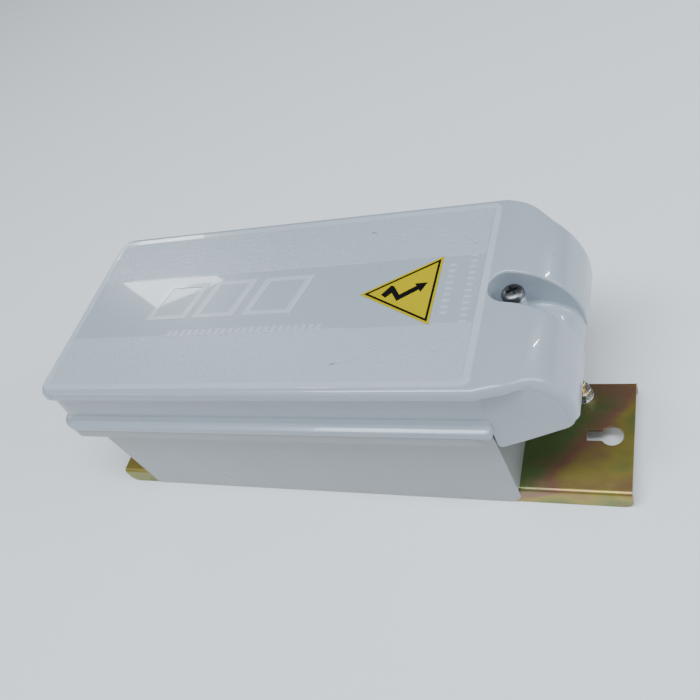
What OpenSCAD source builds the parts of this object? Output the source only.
// Enclosed neon transformer: a resin-filled tub on a steel channel, under a hinged plastic cover.
// +X points to the terminal end, +Z is up, z = 0 is the mounting surface,
// y = 0 is the cover's middle and x = 0 the middle of the mounting channel.

/* [Cover] */
// Rise of the cover's top above the tub's rim
cover_rise = 31.2; // [28:0.2:42]
// How far the cover's top edges stand out beyond the tub
cover_over = 4.7; // [4:0.1:8]
// Thickness of the cover's walls
cover_wall = 2.5; // [1.8:0.1:3.2]
// How far the side walls stand inside the top edges
wall_inset = 3.2; // [2.6:0.1:4]
// Radius of the curved nose over the terminals
nose_r = 30; // [25:1:36]
// Length of the nose beyond the tub's end wall
nose_l = 32.6; // [31:0.2:40]
// How much narrower the nose is at its far end
nose_taper = 23; // [12:1:30]
// Drop of the nose's lower edge below the rim, at its far end
nose_drop = 4.3; // [3:0.1:8]
// Drop of the cheeks' lower corners below the rim, beside the tub
cheek_drop = 11.8; // [9:0.2:15]
// Height of the lip that closes on the tub's rim
lip_h = 3.8; // [3:0.1:5]
// How far the lip stands out beyond the top edges
lip_out = 0.5; // [0:0.1:1.5]
// Width of the screw recess
recess_w = 15.2; // [13:0.2:20]
// Depth of the recess floor below the cover's top
recess_d = 20; // [17:0.5:22]

/* [Tub] */
// Length of the tub
tub_l = 202; // [166:1:260]
// Width of the tub
tub_w = 92.6; // [90:0.2:120]
// Height of the tub's rim above the mounting surface
tub_h = 61.8; // [51:0.1:80]
// Thickness of the tub's walls
tub_wall = 2.5; // [2:0.1:3]
// Height of the rim's outer face
rim_h = 5.3; // [4:0.1:7]
// How far the rim reaches past the tub at the hinge end
rim_back = 13.4; // [12:0.1:17]
// Depth of the terminal shelf below the rim
shelf_drop = 6.8; // [5:0.2:9]
// Depth of the resin's surface below the rim
resin_drop = 2.8; // [2:0.1:5]

/* [Mounting channel] */
// Length of the channel beyond the tub at the terminal end
ear_l = 46.5; // [42:0.5:60]
// Length of the channel beyond the tub at the hinge end
tail_l = 16.9; // [14:0.1:25]
// Width of the channel
plate_w = 56.6; // [46:0.2:70]
// Height of the channel's top face
plate_h = 10.5; // [8.5:0.1:13]
// Thickness of the steel
plate_t = 1.5; // [1:0.1:2.5]
// Thickness of the tub's front skirt in front of the channel
skirt_t = 1.7; // [1.2:0.1:2.4]
// Radius of the keyhole's round part
key_r = 4.9; // [4:0.1:6]
// Width of the keyhole's slot
key_slot = 5.4; // [4.4:0.1:6.6]

/* [Fasteners] */
// Thread radius of the cover screw
screw_r = 2.2; // [1.8:0.1:2.7]
// Head radius of the cover screw
screw_head_r = 4.7; // [3.9:0.1:5.7]
// Radius of the hinge pins
hinge_r = 1.5; // [1.2:0.1:1.8]
// Radius of the high-voltage and earth studs
stud_r = 2.5; // [2:0.1:3]

/* [Transformer] */
// Height of the core's middle limb
limb_h = 11; // [9:0.2:13.4]
// Build of the windings on each side of the stack
coil_build = 7; // [5.8:0.1:8.4]
// Width of the warning triangle
label_w = 36.8; // [30:0.2:45]

/* [Hidden] */
$fn = 48;
eps = 0.02;
gap = 0.3;
run_gap = 0.05;

plate_l = tail_l + tub_l + ear_l;
tub_x0 = tail_l - plate_l / 2;
tub_x1 = tub_x0 + tub_l;
tub_y = tub_w / 2;
floor_z = plate_h + tub_wall;
deep_floor_z = tub_wall;
resin_z = tub_h - resin_drop;
skirt_r = 7;
plate_y0 = skirt_t - tub_y;
plate_y1 = plate_y0 + plate_w;
plate_y = plate_y0 + plate_w / 2;

cover_h = tub_h + cover_rise;
cover_w = tub_w + 2 * cover_over;
wall_y = cover_w / 2 - wall_inset;
nose_w = cover_w - nose_taper;
lip_y = cover_w / 2 + lip_out;
rim_y = lip_y - 0.7;
rim_x0 = tub_x0 - rim_back;
lip_x0 = rim_x0 - 0.7;
top_x0 = rim_x0 + 4.8;
back_wall_x = top_x0 - 2.1;
cheek_x = tub_x1 + 1.4;
rim_x1 = cheek_x - 0.5;
lip_z = tub_h + 0.8;
nose_x1 = tub_x1 + nose_l;
nose_cx = nose_x1 - nose_r;
nose_cz = cover_h - nose_r;
nose_end_z = tub_h - nose_drop;
cheek_z = tub_h - cheek_drop;
taper_x = cheek_x + 3;
edge_h = 4.5;

label_t = 0.3;
label_l = 0.926 * label_w;
label_x = tub_x1 - 21.1;

screw_x = tub_x1 + 8.9;
recess_x = screw_x - 1.4;
recess_r = recess_w / 2;
recess_z = cover_h - recess_d;
trough_r = nose_cz + nose_r - recess_d - nose_end_z + 1.5;
trough_cx = nose_x1 - 0.8 - trough_r;
seat_r = screw_head_r - 0.3;
seat_z = cover_h - 7;
washer_t = 0.6;
head_h = 3.4;
boss_z = recess_z - cover_wall - 0.6;
insert_h = 12;
insert_r = screw_r + 1.4;
boss_r = insert_r + 3.4;
screw_tip_z = boss_z - insert_h + 1;

hinge_x = rim_x0 - 0.4;
hinge_z = tub_h + 0.4;
hinge_y = 28;
knuckle_r = hinge_r + 1.5;
ear_r = hinge_r + 1.2;
knuckle_l = 13;
hinge_ear_l = 4;
hinge_span = knuckle_l / 2 + gap + hinge_ear_l;

nut_r = 3.9;
nut_h = 3.2;
yoke_w = 10;
bar_h = 6.5;
core_clear = 2;
core_x0 = tub_x0 + tub_wall + 5;
core_l = tub_l - 2 * tub_wall - 19;
core_y = plate_y;
core_stack = 2 * (tub_y + plate_y - tub_wall - coil_build - core_clear);
core_z0 = floor_z;
core_h = resin_z - floor_z - nut_h - 4.8;
limb_z0 = core_z0 + (core_h - limb_h) / 2;
bobbin_t = 1.2;
flange_build = coil_build + 0.4;
coil_z0 = core_z0 + bar_h + 0.5;
coil_h = core_h - 2 * bar_h - 1;
shunt_l = 8;
window_x0 = core_x0 + yoke_w;
window_l = core_l - 2 * yoke_w;
slack = 2;
coil_l = (window_l - 2 * shunt_l - 6 * slack) / 3;
sec_a_x = window_x0 + slack;
shunt_a_x = sec_a_x + coil_l + slack;
pri_x = shunt_a_x + shunt_l + slack;
shunt_b_x = pri_x + coil_l + slack;
sec_b_x = shunt_b_x + shunt_l + slack;
hole_r = 2.1;
bolt_r = 2;
bolt_y = core_stack / 2 - 6;
bolt_x = [core_x0 + yoke_w / 2, core_x0 + core_l - yoke_w / 2];
bolts = [for (x = bolt_x, s = [-1, 1]) [x, core_y + s * bolt_y]];

hv_y = tub_y - tub_wall - 17.8;
hv_x = [tub_x0 + 42, tub_x0 + 142];
bushing_r = 11;
bushing_h = 15;
stud_top = cover_h - cover_wall - 6;

shelf_z = tub_h - shelf_drop;
shelf_x1 = tub_x1 + 24;
shelf_y = inner_y(shelf_x1) - 0.5;
shelf_t = 3;
boss_drop = 15;
block_x = tub_x1 + 6;
block_d = 15;
block_h = 14;
block_pitch = 7;
lug_l = 5;
pole_w = 5;
pole_h = 5.4;
block_l = 3 * block_pitch + 2 * lug_l;
block_y = boss_r + 0.5 + block_l / 2;
clamp_y = -24;
clamp_x = tub_x1 + 17;
clamp_gap = 3.2;
clamp_reach = 9;
small_r = 1.5;

earth_x = tub_x1 + 23.4;
earth_y = plate_y1 - 7.5;
key_x = plate_l / 2 - key_r - 4.3;
key_slot_l = 10.6;
end_slot_x = -plate_l / 2 + 10;

// Half the inner width of the nose at x
function inner_y(x) =
    nose_w / 2 - cover_wall + (wall_y - nose_w / 2) * (nose_x1 - 2 - x) / (nose_x1 - 2 - taper_x);

// A box given by its low and high corners
module box(lo, hi) {
    translate(lo) cube([for (i = [0:2]) hi[i] - lo[i]]);
}

// A rectangle with round corners, from its low and high corners
module round_rect(lo, hi, r) {
    translate([lo[0] + r, lo[1]]) square([hi[0] - lo[0] - 2 * r, hi[1] - lo[1]]);
    translate([lo[0], lo[1] + r]) square([hi[0] - lo[0], hi[1] - lo[1] - 2 * r]);
    for (x = [lo[0] + r, hi[0] - r], y = [lo[1] + r, hi[1] - r]) translate([x, y]) circle(r);
}

// Turns a side view drawn in X and Z into a solid from y0 to y1
module along_y(y0, y1) {
    translate([0, y1, 0]) rotate([90, 0, 0]) linear_extrude(y1 - y0) children();
}

// A round bar along Y
module bar_y(x, z, r, y0, y1) {
    along_y(y0, y1) translate([x, z]) circle(r);
}

// An upright cylinder
module post(x, y, z0, z1, r) {
    translate([x, y, z0]) cylinder(r = r, h = z1 - z0);
}

// A hexagon nut with its bore
module hex_nut(x, y, z, across, h, bore) {
    difference() {
        translate([x, y, z]) cylinder(r = across, h = h, $fn = 6);
        post(x, y, z - 1, z + h + 1, bore);
    }
}

// A flat washer
module washer(x, y, z, r, t, bore) {
    difference() {
        post(x, y, z, z + t, r);
        post(x, y, z - 1, z + t + 1, bore);
    }
}

// A pan-head screw with a cross recess, its head standing on z
module pan_screw(x, y, z, tip, r, head, h) {
    color("dimgray") difference() {
        union() {
            post(x, y, tip, z + eps, r);
            post(x, y, z, z + h, head);
        }
        translate([x, y, z + h]) for (a = [0, 90]) rotate([0, 0, a])
            cube([1.3 * head, 0.3 * head, h], center = true);
    }
}

// The channel: flat top, front and back flanges, a keyhole and an open slot for the wall screws
module mounting_plate() {
    color("darkkhaki") difference() {
        box([-plate_l / 2, plate_y0, 0], [plate_l / 2, plate_y1, plate_h]);
        box([-plate_l, plate_y0 + plate_t, -1], [plate_l, plate_y1 - plate_t, plate_h - plate_t]);
        post(key_x, plate_y, -1, plate_h + 1, key_r);
        box([key_x - key_slot_l, plate_y - key_slot / 2, 0],
            [key_x, plate_y + key_slot / 2, plate_h + 1]);
        post(end_slot_x, plate_y, 0, plate_h + 1, key_slot / 2);
        box([-plate_l, plate_y - key_slot / 2, 0],
            [end_slot_x, plate_y + key_slot / 2, plate_h + 1]);
        for (b = bolts) post(b[0], b[1], 0, plate_h + 1, hole_r);
        post(earth_x, earth_y, 0, plate_h + 1, stud_r);
    }
}

// The tub: walls down to the mounting surface, a raised floor over the channel, rim, shelf and boss
module base_tub() {
    color("gainsboro") difference() {
        union() {
            box([tub_x0, -tub_y, 0], [tub_x1, tub_y, tub_h]);
            translate([0, 0, tub_h - rim_h]) linear_extrude(rim_h)
                round_rect([rim_x0, -rim_y], [rim_x1, rim_y], 7);
            box([tub_x1 - eps, -shelf_y, shelf_z - shelf_t], [shelf_x1, shelf_y, shelf_z]);
            post(screw_x, 0, shelf_z - boss_drop, boss_z, boss_r);
            box([tub_x1 - eps, -boss_r, shelf_z - boss_drop], [screw_x, boss_r, shelf_z + 2]);
            hinge_ears();
        }
        difference() {
            box([tub_x0 + tub_wall, -tub_y + tub_wall, deep_floor_z],
                [tub_x1 - tub_wall, tub_y - tub_wall, tub_h + 1]);
            box([tub_x0, -tub_w, 0], [tub_x1, plate_y1 + tub_wall, floor_z]);
        }
        box([-plate_l, plate_y0, -1], [plate_l, plate_y1, plate_h]);
        knuckle_notches();
        pin_holes();
        post(screw_x, 0, boss_z - insert_h, boss_z + 1, insert_r);
        for (b = bolts) post(b[0], b[1], 0, floor_z + 1, hole_r);
        for (y = block_screws()) post(block_x + block_d / 2, y, 0, shelf_z + 1, small_r);
        for (y = clamp_screws()) post(clamp_x, y, 0, shelf_z + 1, small_r);
        skirt_corner();
    }
}

// The round lower corner of the front skirt
module skirt_corner() {
    along_y(-tub_w, plate_y0 + eps) difference() {
        translate([tub_x1 - skirt_r, -1]) square(skirt_r + 1);
        translate([tub_x1 - skirt_r, skirt_r]) circle(skirt_r);
    }
}

module hinge_ears() {
    for (s = [-1, 1], e = [-1, 1]) {
        y = s * hinge_y + e * (hinge_span - hinge_ear_l / 2);
        bar_y(hinge_x, hinge_z, ear_r, y - hinge_ear_l / 2, y + hinge_ear_l / 2);
        box([hinge_x - ear_r, y - hinge_ear_l / 2, hinge_z - 4],
            [rim_x0 + 4, y + hinge_ear_l / 2, hinge_z]);
    }
}

module knuckle_notches() {
    for (s = [-1, 1])
        box([hinge_x - 9, s * hinge_y - knuckle_l / 2 - gap, hinge_z - 12],
            [hinge_x + knuckle_r + 0.6, s * hinge_y + knuckle_l / 2 + gap, hinge_z + 12]);
}

module pin_holes() {
    for (s = [-1, 1])
        bar_y(hinge_x, hinge_z, hinge_r, s * hinge_y - hinge_span - 1, s * hinge_y + hinge_span + 1);
}

// The seal strip on the rim
module rim_seal() {
    color("darkgray") translate([0, 0, tub_h]) linear_extrude(0.4) difference() {
        seal_line(1.2);
        seal_line(3.2);
    }
}

module seal_line(inset) {
    round_rect([rim_x0 + 5 + inset, -rim_y + inset], [rim_x1 - inset, rim_y - inset], 5);
}

// Side view of the cover, its walls moved in by d
module cover_side(d) {
    translate([back_wall_x + d, 0]) square([nose_cx - back_wall_x - d, cover_h - d]);
    translate([nose_cx - eps, 0]) square([nose_r - d + eps, nose_cz]);
    translate([nose_cx, nose_cz]) circle(nose_r - d, $fn = 96);
}

// Plan of the cover's walls, moved in by d
module cover_plan(d) {
    wy = wall_y - d;
    ey = nose_w / 2 - d;
    polygon([[back_wall_x + d, -wy], [taper_x, -wy], [nose_x1 - 2, -ey], [nose_x1 + 1, -ey + 1],
             [nose_x1 + 1, ey - 1], [nose_x1 - 2, ey], [taper_x, wy], [back_wall_x + d, wy]]);
}

// The cover's outer or inner volume
module cover_volume(d) {
    intersection() {
        along_y(-cover_w, cover_w) cover_side(d);
        linear_extrude(cover_h) cover_plan(d);
    }
}

// What lies below the cover's lower edge: level over the rim, rising under the nose
module below_edge() {
    along_y(-cover_w, cover_w) polygon([
        [back_wall_x - 20, -5], [back_wall_x - 20, lip_z], [cheek_x, lip_z], [cheek_x, cheek_z],
        [nose_x1 + 2, nose_end_z], [nose_x1 + 2, -5]]);
}

module recess_plan(d) {
    translate([recess_x, 0]) circle(recess_r + d);
    translate([recess_x, -recess_r - d]) square([nose_l, recess_w + 2 * d]);
}

// Side view of all that lies under the recess floor, lowered by d
module under_floor(d) {
    translate([recess_x - 20, 0]) square([trough_cx - recess_x + 20, recess_z - d]);
    translate([trough_cx - eps, 0]) square([trough_r - d, recess_z - trough_r]);
    translate([trough_cx, recess_z - trough_r]) circle(trough_r - d);
}

module recess_cut() {
    difference() {
        linear_extrude(cover_h + 1) recess_plan(0);
        along_y(-cover_w, cover_w) under_floor(0);
        post(screw_x, 0, recess_z - 1, seat_z, seat_r);
    }
}

module recess_wall() {
    difference() {
        intersection() {
            cover_volume(0);
            linear_extrude(cover_h) recess_plan(cover_wall);
        }
        along_y(-cover_w, cover_w) under_floor(cover_wall);
    }
}

// The overhanging edge round the top, and the panel that it frames
module top_edge() {
    translate([0, 0, cover_h - edge_h]) linear_extrude(edge_h)
        round_rect([top_x0, -cover_w / 2], [taper_x - 2, cover_w / 2], 6);
}

module cover_lip() {
    translate([0, 0, lip_z]) linear_extrude(lip_h) difference() {
        round_rect([lip_x0, -lip_y], [cheek_x, lip_y], 7.5);
        translate([back_wall_x + cover_wall, -wall_y + cover_wall])
            square([nose_x1 - back_wall_x, 2 * (wall_y - cover_wall)]);
    }
}

module knuckles() {
    for (s = [-1, 1]) {
        y0 = s * hinge_y - knuckle_l / 2;
        y1 = s * hinge_y + knuckle_l / 2;
        bar_y(hinge_x, hinge_z, knuckle_r, y0, y1);
        box([hinge_x, y0, hinge_z], [back_wall_x + 1, y1, hinge_z + 6]);
    }
}

module top_cover() {
    color("whitesmoke") difference() {
        union() {
            difference() {
                union() {
                    cover_volume(0);
                    top_edge();
                    cover_lip();
                }
                difference() {
                    cover_volume(cover_wall);
                    recess_wall();
                }
                below_edge();
            }
            knuckles();
        }
        recess_cut();
        for (s = [-1, 1]) {
            y0 = s * hinge_y - hinge_span - gap;
            y1 = s * hinge_y + hinge_span + gap;
            ear_notch(y0, s * hinge_y - knuckle_l / 2);
            ear_notch(s * hinge_y + knuckle_l / 2, y1);
            bar_y(hinge_x, hinge_z, hinge_r + run_gap, y0, y1);
        }
        post(screw_x, 0, 0, cover_h, screw_r + 0.4);
    }
}

// Room for the tub's hinge ears in the cover's lip
module ear_notch(y0, y1) {
    box([lip_x0 - 1, y0, 0], [back_wall_x, y1, lip_z + lip_h + 1]);
}

module cover_screw() {
    pan_screw(screw_x, 0, seat_z + washer_t, screw_tip_z, screw_r, screw_head_r, head_h);
}

module screw_washer() {
    color("silver") washer(screw_x, 0, seat_z, seat_r + 0.2, washer_t, screw_r + 0.1);
}

module screw_insert() {
    color("goldenrod") difference() {
        post(screw_x, 0, boss_z - insert_h, boss_z, insert_r);
        post(screw_x, 0, 0, cover_h, screw_r + gap);
    }
}

// The triangular warning label on the cover's top
module warning_label() {
    color("gold") translate([label_x, 0, cover_h]) linear_extrude(label_t)
        polygon([[-label_l, 0], [0, -label_w / 2], [0, label_w / 2]]);
}

module hinge_pin(s) {
    color("silver") bar_y(hinge_x, hinge_z, hinge_r, s * hinge_y - hinge_span, s * hinge_y + hinge_span);
}
module hinge_pin_front() hinge_pin(-1);
module hinge_pin_back() hinge_pin(1);

// The laminated core: two long bars, a middle limb and end yokes
module core_frame() {
    y0 = core_y - core_stack / 2;
    y1 = core_y + core_stack / 2;
    color("slategray") difference() {
        box([core_x0, y0, core_z0], [core_x0 + core_l, y1, core_z0 + core_h]);
        for (z = [core_z0 + bar_h, limb_z0 + limb_h])
            box([window_x0, y0 - 1, z], [window_x0 + window_l, y1 + 1, z + limb_z0 - core_z0 - bar_h]);
        for (b = bolts) post(b[0], b[1], 0, cover_h, hole_r);
    }
}

// A magnetic shunt: one block in each window, joined by a strap round the stack's back
module shunt(x) {
    y0 = core_y - core_stack / 2;
    y1 = core_y + core_stack / 2;
    z0 = core_z0 + bar_h + 0.8;
    z1 = core_z0 + core_h - bar_h - 0.8;
    color("dimgray") difference() {
        box([x, y0, z0], [x + shunt_l, y1 + 2, z1]);
        box([x - 1, y0 - 1, limb_z0 - 0.5], [x + shunt_l + 1, y1 + gap, limb_z0 + limb_h + 0.5]);
    }
}
module shunt_a() shunt(shunt_a_x);
module shunt_b() shunt(shunt_b_x);

// A bobbin with two flanges on the middle limb
module bobbin(x, l) {
    y0 = core_y - core_stack / 2;
    y1 = core_y + core_stack / 2;
    color("cornsilk") difference() {
        union() {
            box([x, y0 - bobbin_t, limb_z0 - bobbin_t],
                [x + l, y1 + bobbin_t, limb_z0 + limb_h + bobbin_t]);
            for (f = [x, x + l - bobbin_t])
                box([f, y0 - flange_build, coil_z0],
                    [f + bobbin_t, y1 + flange_build, coil_z0 + coil_h]);
        }
        box([x - 1, y0 - 0.1, limb_z0 - 0.1], [x + l + 1, y1 + 0.1, limb_z0 + limb_h + 0.1]);
    }
}

// A winding between a bobbin's flanges
module coil(x, l, tint) {
    y0 = core_y - core_stack / 2;
    y1 = core_y + core_stack / 2;
    color(tint) difference() {
        box([x + bobbin_t, y0 - coil_build, coil_z0 + 0.3],
            [x + l - bobbin_t, y1 + coil_build, coil_z0 + coil_h - 0.3]);
        box([x - 1, y0 - bobbin_t, limb_z0 - bobbin_t],
            [x + l + 1, y1 + bobbin_t, limb_z0 + limb_h + bobbin_t]);
    }
}
module primary_bobbin() bobbin(pri_x, coil_l);
module primary_coil() coil(pri_x, coil_l, "peru");
module secondary_bobbin_a() bobbin(sec_a_x, coil_l);
module secondary_coil_a() coil(sec_a_x, coil_l, "sienna");
module secondary_bobbin_b() bobbin(sec_b_x, coil_l);
module secondary_coil_b() coil(sec_b_x, coil_l, "sienna");

// A core bolt: hexagon head in the channel, shank up through the core
module core_bolt(i) {
    b = bolts[i];
    top = core_z0 + core_h;
    color("silver") {
        translate([b[0], b[1], plate_h - plate_t - nut_h]) cylinder(r = nut_r, h = nut_h, $fn = 6);
        post(b[0], b[1], plate_h - plate_t - eps, top + nut_h + 1, bolt_r);
    }
}
module core_bolt_1() core_bolt(0);
module core_bolt_2() core_bolt(1);
module core_bolt_3() core_bolt(2);
module core_bolt_4() core_bolt(3);

module core_nut(i) {
    color("silver") hex_nut(bolts[i][0], bolts[i][1], core_z0 + core_h, nut_r, nut_h, bolt_r);
}
module core_nut_1() core_nut(0);
module core_nut_2() core_nut(1);
module core_nut_3() core_nut(2);
module core_nut_4() core_nut(3);

// The resin fills the tub round the transformer and holds the high-voltage studs
module potting_resin() {
    x0 = tub_x0 + tub_wall;
    x1 = tub_x1 - tub_wall;
    y = tub_y - tub_wall;
    cy = core_stack / 2 + coil_build + 1;
    color("black") difference() {
        box([x0, -y, deep_floor_z], [x1, y, resin_z]);
        box([x0 - 1, -tub_w, 0], [x1 + 1, plate_y1 + tub_wall, floor_z]);
        box([core_x0 - 1, core_y - cy, floor_z - 1],
            [core_x0 + core_l + 1, core_y + cy, core_z0 + core_h + nut_h + 1.4]);
        for (x = hv_x) post(x, hv_y, resin_z - 18, resin_z + 1, stud_r);
    }
}

module hv_bushing(x) {
    color("antiquewhite") difference() {
        union() {
            post(x, hv_y, resin_z, resin_z + bushing_h, bushing_r - 3);
            for (z = [0, 5, 10]) post(x, hv_y, resin_z + z, resin_z + z + 2.5, bushing_r);
        }
        post(x, hv_y, 0, cover_h, stud_r);
    }
}
module hv_bushing_a() hv_bushing(hv_x[0]);
module hv_bushing_b() hv_bushing(hv_x[1]);

module hv_stud(x) {
    color("goldenrod") post(x, hv_y, resin_z - 18, stud_top, stud_r);
}
module hv_stud_a() hv_stud(hv_x[0]);
module hv_stud_b() hv_stud(hv_x[1]);

module hv_washer(x) {
    color("silver") washer(x, hv_y, resin_z + bushing_h, 5, 1, stud_r);
}
module hv_washer_a() hv_washer(hv_x[0]);
module hv_washer_b() hv_washer(hv_x[1]);

module hv_nut(x) {
    color("goldenrod") hex_nut(x, hv_y, resin_z + bushing_h + 1 + gap, 4.6, 4, stud_r + run_gap);
}
module hv_nut_a() hv_nut(hv_x[0]);
module hv_nut_b() hv_nut(hv_x[1]);

// The mains terminal block on the shelf
function pole_y(i) = block_y + (i - 1) * block_pitch;
function block_screws() = [for (s = [-1, 1]) block_y + s * (block_l - lug_l) / 2];
function clamp_screws() = [for (s = [-1, 1]) clamp_y + s * clamp_reach];

module terminal_block() {
    color("ivory") difference() {
        union() {
            box([block_x, block_y - block_l / 2 + lug_l, shelf_z],
                [block_x + block_d, block_y + block_l / 2 - lug_l, shelf_z + block_h]);
            box([block_x + 4, block_y - block_l / 2, shelf_z],
                [block_x + block_d - 4, block_y + block_l / 2, shelf_z + 4]);
        }
        for (i = [0:2]) {
            box([block_x - 1, pole_y(i) - pole_w / 2, shelf_z + 3],
                [block_x + block_d + 1, pole_y(i) + pole_w / 2, shelf_z + 3 + pole_h]);
            post(block_x + block_d / 2, pole_y(i), shelf_z + 3, shelf_z + block_h + 1, 2.3);
        }
        for (y = block_screws()) post(block_x + block_d / 2, y, 0, cover_h, small_r);
    }
}

module terminal_sleeve(i) {
    color("goldenrod") difference() {
        box([block_x + 1, pole_y(i) - pole_w / 2, shelf_z + 3],
            [block_x + block_d - 1, pole_y(i) + pole_w / 2, shelf_z + 3 + pole_h]);
        translate([block_x, pole_y(i), shelf_z + 5.4]) rotate([0, 90, 0]) cylinder(r = 1.8, h = block_d);
        post(block_x + block_d / 2, pole_y(i), shelf_z + 5.4, cover_h, 1.55);
    }
}
module terminal_sleeve_1() terminal_sleeve(0);
module terminal_sleeve_2() terminal_sleeve(1);
module terminal_sleeve_3() terminal_sleeve(2);

// A slotted clamping screw in a sleeve
module terminal_screw(i) {
    x = block_x + block_d / 2;
    z = shelf_z + 3 + pole_h;
    color("silver") difference() {
        union() {
            post(x, pole_y(i), z - 1.6, z + 1, 1.5);
            post(x, pole_y(i), z + gap, z + 3.2, 1.95);
        }
        translate([x, pole_y(i), z + 3.2]) cube([5, 0.6, 1.8], center = true);
    }
}
module terminal_screw_1() terminal_screw(0);
module terminal_screw_2() terminal_screw(1);
module terminal_screw_3() terminal_screw(2);

module block_screw(i) {
    pan_screw(block_x + block_d / 2, block_screws()[i], shelf_z + 4, shelf_z - 6, small_r, 2.1, 1.8);
}
module block_screw_1() block_screw(0);
module block_screw_2() block_screw(1);

// The saddle that grips the supply cord
module cord_clamp() {
    color("ivory") difference() {
        union() {
            for (y = clamp_screws())
                box([clamp_x - 3.5, y - 3, shelf_z], [clamp_x + 3.5, y + 3, shelf_z + clamp_gap]);
            box([clamp_x - 3.5, clamp_y - 12, shelf_z + clamp_gap - eps],
                [clamp_x + 3.5, clamp_y + 12, shelf_z + clamp_gap + 3]);
        }
        for (y = clamp_screws()) post(clamp_x, y, 0, cover_h, small_r);
    }
}
module clamp_screw(i) {
    pan_screw(clamp_x, clamp_screws()[i], shelf_z + clamp_gap + 3, shelf_z - 6, small_r, 2.6, 2);
}
module clamp_screw_1() clamp_screw(0);
module clamp_screw_2() clamp_screw(1);

// The earth stud on the channel, with its washer and nut
module earth_stud() {
    color("goldenrod") {
        post(earth_x, earth_y, plate_h - plate_t - 2, plate_h - plate_t, stud_r + 1.5);
        post(earth_x, earth_y, plate_h - plate_t - 1, plate_h + 10, stud_r);
    }
}
module earth_washer() {
    color("silver") washer(earth_x, earth_y, plate_h, 5, 1, stud_r);
}
module earth_nut() {
    color("silver") hex_nut(earth_x, earth_y, plate_h + 1 + gap, 4.6, 4, stud_r + run_gap);
}

mounting_plate();
base_tub();
rim_seal();
top_cover();
cover_screw();
screw_washer();
screw_insert();
warning_label();
hinge_pin_front();
hinge_pin_back();
core_frame();
shunt_a();
shunt_b();
primary_bobbin();
primary_coil();
secondary_bobbin_a();
secondary_coil_a();
secondary_bobbin_b();
secondary_coil_b();
core_bolt_1();
core_bolt_2();
core_bolt_3();
core_bolt_4();
core_nut_1();
core_nut_2();
core_nut_3();
core_nut_4();
potting_resin();
hv_bushing_a();
hv_bushing_b();
hv_stud_a();
hv_stud_b();
hv_washer_a();
hv_washer_b();
hv_nut_a();
hv_nut_b();
terminal_block();
terminal_sleeve_1();
terminal_sleeve_2();
terminal_sleeve_3();
terminal_screw_1();
terminal_screw_2();
terminal_screw_3();
block_screw_1();
block_screw_2();
cord_clamp();
clamp_screw_1();
clamp_screw_2();
earth_stud();
earth_washer();
earth_nut();
